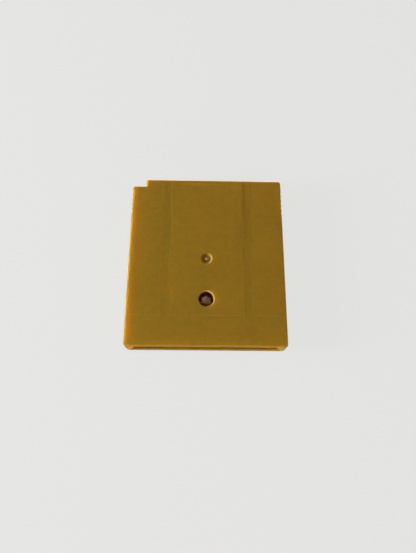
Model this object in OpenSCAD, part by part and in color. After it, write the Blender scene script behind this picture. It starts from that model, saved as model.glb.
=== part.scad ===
// Handheld game cartridge with save memory and clock, lying on its label face with its back up.
// X runs across, Y from the connector mouth to the grip end, Z up out of the back face.
// The origin is the middle of the box's underside.
// The board is sized by the parts it carries and by its contacts, and the case is sized by the board.

/* [Case] */
// Thickness of the front and back walls
face_wall = 1.1; // [1:0.05:1.6]
// Thickness of the side and end walls
side_wall = 1.5; // [1.4:0.1:2]
// Height of the front shell's side walls, up to the parting line
parting_h = 4.4; // [4:0.1:4.8]
// Rounding of the face edges
edge_r = 0.7; // [0.3:0.05:0.8]
// Rounding of both halves' edges at the parting line
parting_r = 0.15; // [0.1:0.05:0.25]
// Plan radius of the two corners at the mouth
mouth_corner_r = 1.1; // [1:0.1:3]
// Plan radius of the square grip end corner
grip_corner_r = 1; // [0.8:0.1:2]
// Width of the keying notch in the grip end corner
notch_w = 5; // [3:0.5:7]
// Length of the keying notch
notch_l = 2.9; // [2:0.1:5]
// Plan radius of the notch's two outer corners
notch_corner_r = 0.8; // [0.8:0.1:1.2]

/* [Lap joint] */
// Thickness of the front shell's tongue
tongue_t = 0.7; // [0.5:0.05:0.9]
// Height of the tongue over the parting line
tongue_h = 0.8; // [0.5:0.1:1]
// Clearance of the tongue in the back shell, at its side and over its top
lap_gap = 0.1; // [0.05:0.05:0.3]

/* [Mouth] */
// Free height of the slot, from the front wall to the board
slot_h = 4.3; // [4.2:0.1:5]
// Depth of the slot, from the mouth to the cross rib
slot_depth = 10.1; // [9.8:0.1:12]
// Thickness of the cross rib that closes the slot
slot_rib_t = 1; // [0.8:0.1:1.6]
// Clearance of the cross rib under the board
slot_rib_gap = 0.2; // [0.1:0.05:0.5]
// Setback of the back half's edge behind the front half's lip
mouth_step = 0.15; // [0.1:0.05:0.5]
// Lead-in chamfer on the slot's cheeks
cheek_chamfer = 1.2; // [0.3:0.1:1.3]
// Lead-in chamfer on the lip of the front wall
lip_chamfer = 0.25; // [0.1:0.05:0.4]

/* [Back face] */
// Distance of the two shallow channels, centre to centre
channel_spacing = 30; // [20:0.5:36]
// Width of each channel
channel_w = 3.3; // [2:0.1:5]
// Depth of each channel
channel_depth = 0.08; // [0.05:0.01:0.4]
// Distance of the cross line from the mouth
line_from_mouth = 10.8; // [9:0.2:12]
// Width of the cross line
line_w = 0.9; // [0.5:0.1:1.5]
// Depth of the cross line
line_depth = 0.05; // [0.03:0.01:0.4]
// Diameter of the gate dimple in the middle of the face
dimple_d = 4.2; // [4:0.2:6]
// Depth of the gate dimple
dimple_depth = 0.55; // [0.3:0.05:0.7]
// Radius of the dimple's hollow wall
dimple_wall_r = 1.8; // [1:0.1:3]
// Diameter of the domed moulding nub in the dimple
nub_d = 0.9; // [0.8:0.1:1.5]
// Height of the nub
nub_h = 0.4; // [0.1:0.05:0.4]
// Width of the bare mould insert near the grip end
insert_w = 21.2; // [10:0.2:24]
// Length of the mould insert
insert_l = 4.3; // [3:0.1:5]
// Distance of the insert from the grip end
insert_from_end = 1.8; // [1:0.1:3]
// Depth of the insert's step
insert_depth = 0.05; // [0.03:0.01:0.1]

/* [Grip] */
// Number of grip grooves on each side
grip_count = 5; // [2:1:6]
// Distance from groove to groove
grip_spacing = 2.05; // [1.6:0.05:2.4]
// Distance of the first groove from the grip end
grip_from_end = 5.3; // [5:0.1:7]
// Radius of the groove's round bottom
groove_r = 0.5; // [0.4:0.05:0.7]
// Depth of the grooves
groove_depth = 0.4; // [0.2:0.05:0.5]

/* [Front face] */
// Width of the bare label recess
label_w = 42.5; // [36:0.5:46]
// Length of the label recess
label_l = 37; // [30:0.5:38]
// Corner radius of the label recess
label_r = 2; // [1:0.25:4]
// Depth of the label recess
label_depth = 0.4; // [0.2:0.05:0.5]
// Distance of the label recess from the mouth
label_from_mouth = 11; // [10.5:0.5:14]
// Width of the bare badge recess between the grips
badge_w = 38; // [30:0.5:40]
// Length of the badge recess
badge_l = 8.5; // [6:0.25:10]
// Depth of the badge recess
badge_depth = 0.4; // [0.2:0.05:0.5]
// Space between the badge recess and the grip grooves
badge_gap = 1; // [0.5:0.25:2]
// Width of the insertion arrow
arrow_w = 5; // [3:0.5:8]
// Length of the insertion arrow
arrow_l = 3.6; // [2:0.2:5]
// Depth of the insertion arrow
arrow_depth = 0.3; // [0.1:0.05:0.4]
// Distance of the arrow's tip from the mouth
arrow_from_mouth = 3.4; // [2:0.2:5]

/* [Well and boss] */
// Distance of the screw behind the cross rib
screw_from_rib = 6.1; // [5:0.1:8]
// Bore of the screw well
well_d = 5.3; // [4.8:0.1:6.2]
// Wall of the screw well
well_wall = 0.9; // [0.7:0.1:1.1]
// Width of the chamfer round the well's mouth
well_lip_w = 0.35; // [0.2:0.05:0.9]
// Depth of that chamfer
well_lip_depth = 0.35; // [0.2:0.05:0.8]
// Thickness of the well's floor, which the screw clamps
seat_t = 0.95; // [0.8:0.05:1.1]
// Diameter of the front shell's boss
boss_d = 5.6; // [4.5:0.1:6]
// Height of the boss over the front wall
boss_h = 1.7; // [1.4:0.1:2]

/* [Screw] */
// Diameter of the shank
shank_d = 2; // [1.6:0.1:2.2]
// Clearance of the shank in the boss, all round
shank_gap = 0.05; // [0.05:0.05:0.15]
// Clearance of the shank in the well's floor, all round
seat_hole_gap = 0.45; // [0.2:0.05:0.6]
// Space under the tip
tip_gap = 0.15; // [0.1:0.05:0.3]
// Clearance of the flange in the well, all round
flange_gap = 0.45; // [0.2:0.05:0.6]
// Thickness of the flange
flange_t = 0.4; // [0.3:0.05:0.6]
// Step from the flange's rim in to the lobes
lobe_inset = 0.3; // [0.1:0.05:0.5]
// Height of the lobed head over the flange
head_h = 1.2; // [0.8:0.1:1.6]
// Number of hollows between the lobes
lobe_count = 6; // [5:1:8]
// Radius of each hollow
lobe_r = 0.55; // [0.3:0.05:0.7]

/* [Hooks] */
// Distance of the two hooks, centre to centre
hook_spacing = 24; // [16:1:34]
// Width of each hook
hook_w = 6; // [4:0.5:8]
// Thickness of the hook's arm
hook_t = 0.9; // [0.7:0.1:1.2]
// Clearance between the arm and the end wall
hook_gap = 0.15; // [0.1:0.05:0.3]
// Reach of the hook's nib into the end wall
nib_reach = 0.4; // [0.3:0.05:0.5]
// Height of the nib
nib_t = 0.8; // [0.6:0.1:1]
// Space of the nib in its pocket
nib_gap = 0.1; // [0.05:0.05:0.2]
// Height of the arm's end over the front wall
hook_lift = 1.2; // [1:0.1:1.5]

/* [Board] */
// Thickness of the board
board_t = 1; // [0.8:0.1:1.6]
// Space between the board and the back wall
back_gap = 0.3; // [0.3:0.05:0.8]
// Clearance between the board and the side walls
board_gap = 0.5; // [0.3:0.1:0.8]
// Clearance between the board's tongue and the slot's cheeks
tongue_gap = 0.6; // [0.3:0.1:1]
// Distance of the board's edge from the mouth
board_setback = 1.3; // [1:0.1:2]
// Least step from the board's tongue out to its shoulders
shoulder_w = 1.5; // [1:0.1:2]
// Clearance of the board's shoulders behind the slot
shoulder_gap = 0.1; // [0.05:0.05:0.3]
// Distance of the board from the grip end wall
board_end_gap = 7; // [6:0.1:8]
// Chamfer on the board's plug-in edge
board_chamfer = 0.4; // [0.2:0.05:0.5]
// Clearance of the board round the screw well
well_gap = 0.25; // [0.2:0.05:0.5]
// Space from the well's hole to the parts behind it
well_margin = 0.6; // [0.4:0.1:1.5]
// Diameter of the posts under the board
post_d = 3.4; // [3:0.1:4]
// Distance of the posts from the board's side edges
post_inset_x = 2.4; // [2.2:0.1:3]
// Distance of the grip end posts from the board's end edge
post_inset_y = 2.4; // [2.2:0.1:3]
// Least space between a grip end post and the program memory
post_gap = 0.6; // [0.4:0.1:1.5]
// Distance of the mouth end posts from the cross rib
post_from_rib = 3.6; // [2:0.1:4]
// Diameter of the locating pegs
peg_d = 2; // [1.6:0.1:2.4]
// Clearance of the pegs in the board, all round
peg_gap = 0.15; // [0.1:0.05:0.2]
// Depth of the pegs' tops under the board's back
peg_drop = 0.1; // [0.05:0.05:0.3]
// Number of press ribs over the board's tongue
press_count = 5; // [2:1:6]
// Distance from press rib to press rib
press_spacing = 10; // [6:0.5:11]
// Thickness of the press ribs
press_t = 1; // [0.8:0.1:1.6]

/* [Contacts] */
// Number of edge contacts
contact_count = 32; // [16:1:40]
// Distance from contact to contact
contact_spacing = 1.5; // [1.3:0.05:2]
// Width of each contact
contact_w = 1; // [0.8:0.05:1.1]
// Length of each contact
contact_l = 8; // [6:0.25:8.5]
// Thickness of the plating
contact_t = 0.05; // [0.03:0.01:0.08]
// Bare edge of the tongue beside the last contact
contact_margin = 1.25; // [0.8:0.05:3]

/* [Chips] */
// Space from the board's side edge to the program memory
edge_margin = 1; // [0.8:0.1:1.6]
// Space between neighbouring parts
part_gap = 2.5; // [1.5:0.1:3]
// Space under each chip's body
standoff = 0.1; // [0.05:0.05:0.2]
// Thickness of the chips' leads
lead_t = 0.15; // [0.1:0.01:0.2]
// Draft of the moulded chip bodies, each side
chip_draft = 0.12; // [0.05:0.01:0.2]
// Diameter of the dimple that marks a chip's first lead
mark_d = 1; // [0.6:0.1:1.2]
// Depth of that dimple
mark_depth = 0.08; // [0.05:0.01:0.12]
// Distance from lead to lead on the memories and the switch-over chip
lead_spacing = 1.27; // [1.1:0.01:1.4]
// Width of the leads on the memories and the switch-over chip
lead_w = 0.42; // [0.3:0.02:0.5]
// Program memory: width of the body
rom_w = 13.3; // [10:0.1:14]
// Program memory: body beyond the last lead's middle
rom_end = 0.765; // [0.5:0.005:1.5]
// Program memory: height of the body
rom_h = 2.3; // [1.8:0.1:2.8]
// Program memory: reach of the leads
rom_reach = 1.35; // [1:0.05:1.8]
// Program memory: leads on each side
rom_leads_a_side = 22; // [16:1:26]
// Bank controller: body beyond the last lead's middle
mapper_end = 0.7; // [0.5:0.05:1.2]
// Bank controller: height of the body
mapper_h = 1.4; // [1:0.1:1.6]
// Bank controller: reach of the leads
mapper_reach = 1; // [0.8:0.05:1.4]
// Bank controller: leads on each side
mapper_leads_a_side = 8; // [6:1:12]
// Bank controller: distance from lead to lead
mapper_spacing = 0.8; // [0.65:0.05:1]
// Bank controller: width of the leads
mapper_lead_w = 0.35; // [0.2:0.01:0.4]
// Save memory: width of the body
ram_w = 8.4; // [7.5:0.1:10]
// Save memory: body beyond the last lead's middle
ram_end = 0.745; // [0.5:0.005:1.5]
// Save memory: height of the body
ram_h = 2.3; // [1.8:0.1:2.8]
// Save memory: reach of the leads
ram_reach = 1.7; // [1:0.05:2]
// Save memory: leads on each side
ram_leads_a_side = 14; // [10:1:18]
// Switch-over chip: width of the body
supervisor_w = 4.4; // [3.9:0.1:5.4]
// Switch-over chip: body beyond the last lead's middle
supervisor_end = 0.595; // [0.5:0.005:1.2]
// Switch-over chip: height of the body
supervisor_h = 1.5; // [1.2:0.1:1.8]
// Switch-over chip: reach of the leads
supervisor_reach = 0.9; // [0.8:0.05:1.2]
// Switch-over chip: leads on each side
supervisor_leads_a_side = 4; // [3:1:7]

/* [Coin cell] */
// Diameter of the cell
cell_d = 20; // [16:0.5:24]
// Thickness of the cell
cell_h = 2.5; // [1.6:0.1:2.8]
// Width of the seal between the cell's rim and its small pole
cell_seal_w = 1.5; // [1:0.1:3]
// Height of the small pole's step
cell_step = 0.3; // [0.2:0.05:0.4]
// Chamfer round the cell's rim
cell_chamfer = 0.3; // [0.2:0.05:0.4]
// Space between the cell and the board's side edge
cell_side_margin = 2; // [1:0.1:3]
// Space between the cell and the board's grip end edge
cell_end_margin = 1.5; // [1.2:0.1:3]
// Thickness of the cell's tabs
tab_t = 0.15; // [0.1:0.01:0.2]
// Width of the tabs
tab_w = 3; // [2:0.1:4]
// Distance of the two tabs, centre to centre
tab_spacing = 9; // [7:0.5:11]
// Clearance between the upright tab and the cell's rim
tab_gap = 0.25; // [0.15:0.05:0.4]
// Length of the tabs' soldered feet
tab_foot = 1; // [0.8:0.1:1.4]
// Least space between the tabs' feet and the save memory
tab_margin = 0.2; // [0.2:0.1:1]

/* [Small parts] */
// Diameter of the clock crystal's can
crystal_d = 2; // [1.6:0.1:2.4]
// Length of the can
crystal_l = 6; // [5:0.2:7]
// Height of the can's rolled base over the can's skin
crystal_roll = 0.075; // [0.05:0.005:0.15]
// Length of the rolled base
crystal_base_l = 0.6; // [0.4:0.1:0.8]
// Diameter of the crystal's leads
wire_d = 0.3; // [0.2:0.05:0.4]
// Distance of the two leads, centre to centre
wire_spacing = 0.7; // [0.6:0.05:1]
// Bend radius of the leads, at their middle
wire_bend_r = 0.4; // [0.3:0.05:0.5]
// Straight run of the leads before the bend
wire_run = 0.6; // [0.4:0.1:1]
// Length of a chip capacitor or resistor
chip_l = 2; // [1.6:0.1:2.4]
// Width of a chip capacitor or resistor
chip_w = 1.25; // [0.8:0.05:1.6]
// Height of the capacitors
capacitor_h = 0.85; // [0.6:0.05:1.25]
// Height of the resistors
resistor_h = 0.5; // [0.4:0.05:0.7]
// Length of the metal ends
chip_end = 0.4; // [0.3:0.05:0.5]
// Step from the metal ends down to the body
chip_step = 0.04; // [0.02:0.01:0.06]
// Distance of the two resistors in a row, centre to centre
resistor_spacing = 5; // [3.2:0.1:6]
// Distance of the capacitors' middle behind the cross rib
capacitor_from_rib = 2.2; // [1.2:0.1:3]

/* [Hidden] */
$fn = 64;

// Overrun of every cut
over = 0.5;

// Levels over the label face
board_z = face_wall + slot_h;
board_back_z = board_z + board_t;
back_wall_z = board_back_z + back_gap;
case_h = back_wall_z + face_wall;
well_z = face_wall + boss_h;
seat_z = well_z + seat_t;

// Sizes of the parts that the board is laid out for
rom_l = (rom_leads_a_side - 1) * lead_spacing + 2 * rom_end;
rom_span = rom_w + 2 * rom_reach;
mapper_w = (mapper_leads_a_side - 1) * mapper_spacing + 2 * mapper_end;
mapper_span = mapper_w + 2 * mapper_reach;
ram_l = (ram_leads_a_side - 1) * lead_spacing + 2 * ram_end;
ram_span = ram_w + 2 * ram_reach;
supervisor_l = (supervisor_leads_a_side - 1) * lead_spacing + 2 * supervisor_end;
supervisor_span = supervisor_w + 2 * supervisor_reach;
crystal_base_d = crystal_d + 2 * crystal_roll;
well_outer_d = well_d + 2 * well_wall;

// Three columns across the board: program memory, small parts, cell over save memory
middle_w = max(
  mapper_span, supervisor_l, resistor_spacing + chip_l, crystal_l + 2 * (wire_run + wire_bend_r + wire_d)
);
cell_column_w = max(cell_d, ram_l);
columns_w = edge_margin + rom_span + part_gap + middle_w + part_gap + cell_column_w + cell_side_margin;

// Length of the part zone behind the well: the longest of the three columns
tab_room = tab_gap + tab_t + tab_foot + tab_margin;
rom_column_l = rom_l + post_gap + post_d / 2 + post_inset_y;
cell_column_l = ram_span + tab_room + cell_d + cell_end_margin;
middle_l = 2 * chip_w + supervisor_span + mapper_span + crystal_base_d + 4 * part_gap + cell_end_margin;
parts_l = max(rom_column_l, cell_column_l, middle_l);

// Widths across the case, from the contacts and the columns outwards
contact_row_w = (contact_count - 1) * contact_spacing + contact_w;
board_tongue_w = contact_row_w + 2 * contact_margin;
slot_w = board_tongue_w + 2 * tongue_gap;
board_w = max(columns_w, board_tongue_w + 2 * shoulder_w);
case_w = board_w + 2 * (board_gap + side_wall);

// Lengths from the mouth to the grip end
screw_from_mouth = slot_depth + slot_rib_t + screw_from_rib;
parts_from_mouth = screw_from_mouth + well_outer_d / 2 + well_gap + well_margin;
case_l = parts_from_mouth + parts_l + board_end_gap + side_wall;

// Lines across the case
mouth_y = -case_l / 2;
back_mouth_y = mouth_y + mouth_step;
end_y = case_l / 2;
rib_y = mouth_y + slot_depth;
cavity_y = rib_y + slot_rib_t;
end_wall_y = end_y - side_wall;
screw_y = mouth_y + screw_from_mouth;
line_y = mouth_y + line_from_mouth;
grip_y = end_y - grip_from_end;
grip_mid_y = grip_y - (grip_count - 1) * grip_spacing / 2;

// Outline of the board and places of its posts
board_x = board_w / 2;
board_y0 = mouth_y + board_setback;
board_y1 = end_wall_y - board_end_gap;
shoulder_y = cavity_y + shoulder_gap;
post_x = board_x - post_inset_x;
post_y = [cavity_y + post_from_rib, board_y1 - post_inset_y];

// Places of the parts on the board, each from its neighbour
parts_y = mouth_y + parts_from_mouth;
rom_x = -board_x + edge_margin + rom_span / 2;
rom_y = (parts_y + post_y[1] - post_d / 2 - post_gap) / 2;
middle_x = rom_x + rom_span / 2 + part_gap + middle_w / 2;
cell_x = board_x - cell_side_margin - cell_column_w / 2;
cell_y = board_y1 - cell_end_margin - cell_d / 2;
ram_y = parts_y + ram_span / 2;
low_resistor_y = parts_y + chip_w / 2;
supervisor_y = low_resistor_y + chip_w / 2 + part_gap + supervisor_span / 2;
high_resistor_y = supervisor_y + supervisor_span / 2 + part_gap + chip_w / 2;
mapper_y = high_resistor_y + chip_w / 2 + part_gap + mapper_span / 2;
crystal_y = mapper_y + mapper_span / 2 + part_gap + crystal_base_d / 2;
capacitor_y = cavity_y + capacitor_from_rib;

// Places of the capacitors, as shares of the board's width
capacitor_shares = [-0.3, -0.22, -0.14, 0.14, 0.22, 0.3];
// Shares of a lead's reach that its shoulder and its foot take
shoulder_share = 0.25;
foot_share = 0.45;

// Convex corners of a plan that starts at y0: x, y, radius, turn
function corners(y0) = [
  [-case_w / 2, y0, mouth_corner_r, 0],
  [case_w / 2, y0, mouth_corner_r, 90],
  [case_w / 2, end_y, grip_corner_r, 180],
  [-case_w / 2 + notch_w, end_y, notch_corner_r, 270],
  [-case_w / 2, end_y - notch_l, notch_corner_r, 270]
];

// Straight edges of that plan between those corners: start x, start y, length, turn
function edges(y0) = [
  [-case_w / 2 + mouth_corner_r, y0, case_w - 2 * mouth_corner_r, 0],
  [case_w / 2, y0 + mouth_corner_r, end_y - y0 - mouth_corner_r - grip_corner_r, 90],
  [case_w / 2 - grip_corner_r, end_y, case_w - notch_w - grip_corner_r - notch_corner_r, 180],
  [-case_w / 2 + notch_w, end_y - notch_corner_r, notch_l - notch_corner_r, 270],
  [-case_w / 2 + notch_w, end_y - notch_l, notch_w - notch_corner_r, 180],
  [-case_w / 2, end_y - notch_l - notch_corner_r, end_y - y0 - notch_l - notch_corner_r - mouth_corner_r, 270]
];

// What rounding takes off a square corner whose tip is the origin and whose body lies towards +X and +Y
module corner_bit(r) {
  difference() {
    translate([-over, -over]) square(r + over);
    translate([r, r]) circle(r);
  }
}

// Rectangle with its low corner at the origin and rounded corners
module rounded_rect(w, l, r) {
  difference() {
    square([w, l]);
    corner_bit(r);
    translate([w, 0]) rotate(90) corner_bit(r);
    translate([w, l]) rotate(180) corner_bit(r);
    translate([0, l]) rotate(270) corner_bit(r);
  }
}

// Outline of the case from y0 to the grip end, with its keying notch
module case_plan(y0) {
  difference() {
    translate([-case_w / 2, y0]) square([case_w, end_y - y0]);
    translate([-case_w / 2 - over, end_y - notch_l]) square([notch_w + over, notch_l + over]);
    for (c = corners(y0)) translate([c[0], c[1]]) rotate(c[3]) corner_bit(c[2]);
  }
}

// Outline of the space inside a wall of the given thickness, behind the connector slot
module inner_plan(wall) {
  difference() {
    translate([-case_w / 2 + wall, cavity_y]) square([case_w - 2 * wall, end_y - wall - cavity_y]);
    translate([-case_w / 2 - over, end_y - notch_l - wall]) square([notch_w + wall + over, notch_l + wall]);
  }
}

// What rounding takes off the edges of that plan at the level of the origin, with the body below
module edge_rounding(y0, r) {
  for (e = edges(y0))
    translate([e[0], e[1], 0]) rotate([90, 0, 90 + e[3]]) linear_extrude(e[2]) mirror([0, 1]) corner_bit(r);
  for (c = corners(y0))
    translate([c[0], c[1], 0]) rotate(c[3]) translate([c[2], c[2], 0]) rotate(180)
      rotate_extrude(angle = 90) translate([c[2], 0]) rotate(180) corner_bit(min(r, c[2]));
  translate([-case_w / 2 + notch_w, end_y - notch_l, 0]) rotate_extrude()
    difference() {
      translate([0, -r]) square([r, r + over]);
      translate([r, -r]) circle(r);
    }
}

// Grip grooves down both sides of the case, through its whole height
module side_grooves() {
  for (i = [0 : grip_count - 1], s = [-1, 1])
    translate([s * (case_w / 2 + groove_r - groove_depth), grip_y - i * grip_spacing, -over])
      cylinder(h = case_h + 2 * over, r = groove_r);
}

// A shallow groove with sloped flanks along +Y, open upwards, its rim at the level of the origin
module face_groove(w, depth, l) {
  rotate([90, 0, 180]) linear_extrude(l)
    polygon([[-w / 2 + depth, -depth], [w / 2 - depth, -depth], [w / 2 + over, over], [-w / 2 - over, over]]);
}

// What the lead-in chamfers take off the slot's two cheeks between two levels
module cheek_lead_in(z0, z1) {
  half_w = slot_w / 2;
  translate([0, mouth_y, z0]) linear_extrude(z1 - z0) polygon([
    [-half_w - cheek_chamfer - over, -over], [half_w + cheek_chamfer + over, -over],
    [half_w, cheek_chamfer], [-half_w, cheek_chamfer]
  ]);
}

// The back half of the case
module back_shell() {
  color("#8a6a20") difference() {
    union() {
      difference() {
        translate([0, 0, parting_h]) linear_extrude(case_h - parting_h) case_plan(back_mouth_y);
        translate([0, 0, parting_h - over]) linear_extrude(back_wall_z - parting_h + over) inner_plan(side_wall);
        translate([0, 0, parting_h - over]) linear_extrude(tongue_h + lap_gap + over)
          inner_plan(side_wall - tongue_t - lap_gap);
        translate([-slot_w / 2, mouth_y - over, parting_h - over])
          cube([slot_w, cavity_y - mouth_y + 2 * over, back_wall_z - parting_h + over]);
        cheek_lead_in(parting_h - over, back_wall_z);
      }
      back_inside();
    }
    back_outside();
  }
}

// Well, pads, press ribs and hooks under the back wall, each rooted in it
module back_inside() {
  root_z = case_h - face_wall / 2;
  translate([0, screw_y, well_z]) cylinder(h = root_z - well_z, d = well_outer_d);
  for (s = [-1, 1], y = post_y)
    translate([s * post_x, y, board_back_z]) cylinder(h = root_z - board_back_z, d = post_d);
  for (i = [0 : press_count - 1])
    translate([(i - (press_count - 1) / 2) * press_spacing - press_t / 2, board_y0, board_back_z])
      cube([press_t, rib_y - board_y0, root_z - board_back_z]);
  for (s = [-1, 1]) translate([s * hook_spacing / 2 - hook_w / 2, 0, 0]) hook(root_z);
}

// One hook: an arm down the end wall with a nib that is sloped on its leading side
module hook(root_z) {
  face_y = end_wall_y - hook_gap;
  foot_z = face_wall + hook_lift;
  rotate([90, 0, 90]) linear_extrude(hook_w) polygon([
    [face_y - hook_t, root_z], [face_y - hook_t, foot_z], [face_y, foot_z],
    [end_wall_y + nib_reach, foot_z + nib_t / 2], [end_wall_y + nib_reach, foot_z + nib_t],
    [face_y, foot_z + nib_t], [face_y, root_z]
  ]);
}

// What is cut out of the back half from outside
module back_outside() {
  translate([0, 0, case_h]) edge_rounding(back_mouth_y, edge_r);
  translate([0, 0, parting_h]) mirror([0, 0, 1]) edge_rounding(back_mouth_y, parting_r);
  side_grooves();
  for (s = [-1, 1])
    translate([s * channel_spacing / 2, line_y, case_h]) face_groove(channel_w, channel_depth, end_y - line_y + over);
  translate([case_w / 2 + over, line_y, case_h]) rotate(90) face_groove(line_w, line_depth, case_w + 2 * over);
  gate_dimple();
  translate([-insert_w / 2, end_y - insert_from_end - insert_l, case_h - insert_depth])
    cube([insert_w, insert_l, insert_depth + over]);
  translate([0, screw_y, 0]) {
    translate([0, 0, seat_z]) cylinder(h = case_h - seat_z + over, d = well_d);
    translate([0, 0, well_z - over]) cylinder(h = seat_t + 2 * over, d = shank_d + 2 * seat_hole_gap);
    translate([0, 0, case_h - well_lip_depth])
      cylinder(h = well_lip_depth, d1 = well_d, d2 = well_d + 2 * well_lip_w);
  }
}

// A flat-bottomed dish with a hollow wall and a domed moulding nub left standing in its middle
module gate_dimple() {
  floor_r = dimple_d / 2 - sqrt(pow(dimple_wall_r, 2) - pow(dimple_wall_r - dimple_depth, 2));
  translate([0, 0, case_h - dimple_depth]) difference() {
    rotate_extrude() intersection() {
      square([dimple_d / 2, dimple_depth + over]);
      union() {
        square([floor_r, dimple_depth + over]);
        translate([floor_r, dimple_wall_r]) circle(dimple_wall_r);
      }
    }
    translate([0, 0, nub_h - nub_d / 2]) sphere(d = nub_d);
  }
}

// The label half of the case
module front_shell() {
  color("#8a6a20") difference() {
    union() {
      difference() {
        linear_extrude(parting_h) case_plan(mouth_y);
        translate([0, 0, face_wall]) linear_extrude(parting_h - face_wall + over) inner_plan(side_wall);
        translate([-slot_w / 2, mouth_y - over, face_wall])
          cube([slot_w, rib_y - mouth_y + over, parting_h - face_wall + over]);
        cheek_lead_in(face_wall, parting_h + over);
      }
      front_inside();
    }
    front_outside();
  }
}

// Tongue, cross rib, boss and board posts over the front wall, each rooted in it
module front_inside() {
  root_z = face_wall / 2;
  translate([0, 0, parting_h - tongue_t]) linear_extrude(tongue_h + tongue_t)
    difference() {
      inner_plan(side_wall - tongue_t);
      inner_plan(side_wall);
    }
  translate([-board_tongue_w / 2, rib_y, root_z])
    cube([board_tongue_w, slot_rib_t, board_z - slot_rib_gap - root_z]);
  translate([0, screw_y, root_z]) cylinder(h = well_z - root_z, d = boss_d);
  for (s = [-1, 1], y = post_y)
    translate([s * post_x, y, root_z]) cylinder(h = board_z - root_z, d = post_d);
  for (s = [-1, 1])
    translate([s * post_x, post_y[1], root_z]) cylinder(h = board_back_z - peg_drop - root_z, d = peg_d);
}

// What is cut out of the label half from outside, with the pilot hole and the hooks' pockets
module front_outside() {
  mirror([0, 0, 1]) edge_rounding(mouth_y, edge_r);
  translate([0, 0, parting_h]) edge_rounding(mouth_y, parting_r);
  side_grooves();
  for (i = [0 : grip_count - 1], s = [-1, 1])
    translate([s * (badge_w / 2 + badge_gap), grip_y - i * grip_spacing, groove_depth - groove_r])
      rotate([0, s * 90, 0]) cylinder(h = case_w / 2, r = groove_r);
  translate([-label_w / 2, mouth_y + label_from_mouth, -over])
    linear_extrude(label_depth + over) rounded_rect(label_w, label_l, label_r);
  translate([0, grip_mid_y, -over]) linear_extrude(badge_depth + over) {
    square([badge_w - badge_l, badge_l], center = true);
    for (s = [-1, 1]) translate([s * (badge_w - badge_l) / 2, 0]) circle(d = badge_l);
  }
  translate([0, mouth_y + arrow_from_mouth, -over]) linear_extrude(arrow_depth + over)
    polygon([[0, 0], [arrow_w / 2, arrow_l], [-arrow_w / 2, arrow_l]]);
  translate([0, screw_y, face_wall]) cylinder(h = well_z - face_wall + over, d = shank_d + 2 * shank_gap);
  for (s = [-1, 1])
    translate([s * hook_spacing / 2 - hook_w / 2 - hook_gap, end_wall_y - over, face_wall + hook_lift - nib_gap])
      cube([hook_w + 2 * hook_gap, nib_reach + nib_gap + over, nib_t + 2 * nib_gap]);
  translate([-slot_w / 2, mouth_y, face_wall]) rotate([90, 0, 90]) linear_extrude(slot_w)
    polygon([[-over, -lip_chamfer - over], [0, -lip_chamfer], [lip_chamfer, 0], [lip_chamfer, over], [-over, over]]);
}

// The security screw: flange and shank turned in one, with a lobed head
module case_screw() {
  shank_l = seat_z - face_wall - tip_gap;
  flange_d = well_d - 2 * flange_gap;
  head_r = flange_d / 2 - lobe_inset;
  color("#7d7468") translate([0, screw_y, seat_z]) {
    rotate_extrude() polygon([
      [0, flange_t], [flange_d / 2, flange_t], [flange_d / 2, 0], [shank_d / 2, 0],
      [shank_d / 2, -shank_l + shank_d / 2], [shank_d / 4, -shank_l], [0, -shank_l]
    ]);
    translate([0, 0, flange_t / 2]) difference() {
      cylinder(h = head_h + flange_t / 2, r = head_r);
      for (i = [0 : lobe_count - 1])
        rotate(i * 360 / lobe_count) translate([head_r + lobe_r / 3, 0, flange_t / 2])
          cylinder(h = head_h + over, r = lobe_r);
    }
  }
}

// The circuit board, with the hole for the well, the two peg holes and the chamfered plug-in edge
module circuit_board() {
  color("#2f6b3c") translate([0, 0, board_z]) difference() {
    linear_extrude(board_t) difference() {
      union() {
        translate([-board_tongue_w / 2, board_y0]) square([board_tongue_w, shoulder_y - board_y0 + over]);
        translate([-board_x, shoulder_y]) square([board_w, board_y1 - shoulder_y]);
      }
      translate([0, screw_y]) circle(d = well_outer_d + 2 * well_gap);
      for (s = [-1, 1]) translate([s * post_x, post_y[1]]) circle(d = peg_d + 2 * peg_gap);
    }
    translate([-case_w / 2, board_y0, 0]) rotate([90, 0, 90]) linear_extrude(case_w)
      polygon([[-over, board_chamfer + over], [-over, -over], [board_chamfer + over, -over]]);
  }
}

// The gold-plated edge contacts on the board's component side
module contact_fingers() {
  color("#d9b24a") for (i = [0 : contact_count - 1])
    translate([
      (i - (contact_count - 1) / 2) * contact_spacing - contact_w / 2,
      board_y0 + board_chamfer, board_z - contact_t
    ])
      cube([contact_w, contact_l, contact_t]);
}

// Puts a part that is drawn standing on its board, component side up, under this board
module on_board(x, y) {
  translate([x, y, board_z]) rotate([0, 180, 0]) children();
}

// Section of a moulded chip body: drafted both ways from a flat band at the leads
module chip_section(w, h) {
  mid = standoff + h / 2;
  polygon([
    [-w / 2 + chip_draft, standoff], [w / 2 - chip_draft, standoff],
    [w / 2, mid - lead_t / 2], [w / 2, mid + lead_t / 2],
    [w / 2 - chip_draft, standoff + h], [-w / 2 + chip_draft, standoff + h],
    [-w / 2, mid + lead_t / 2], [-w / 2, mid - lead_t / 2]
  ]);
}

// A chip body with its long side along Y and the dimple that marks its first lead
module chip_body(w, l, h) {
  color("#26262a") difference() {
    intersection() {
      rotate([90, 0, 0]) linear_extrude(l, center = true) chip_section(w, h);
      rotate([90, 0, 90]) linear_extrude(w, center = true) chip_section(l, h);
    }
    translate([w / 2 - mark_d, l / 2 - mark_d, standoff + h - mark_depth])
      cylinder(h = mark_depth + over, d = mark_d);
  }
}

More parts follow.
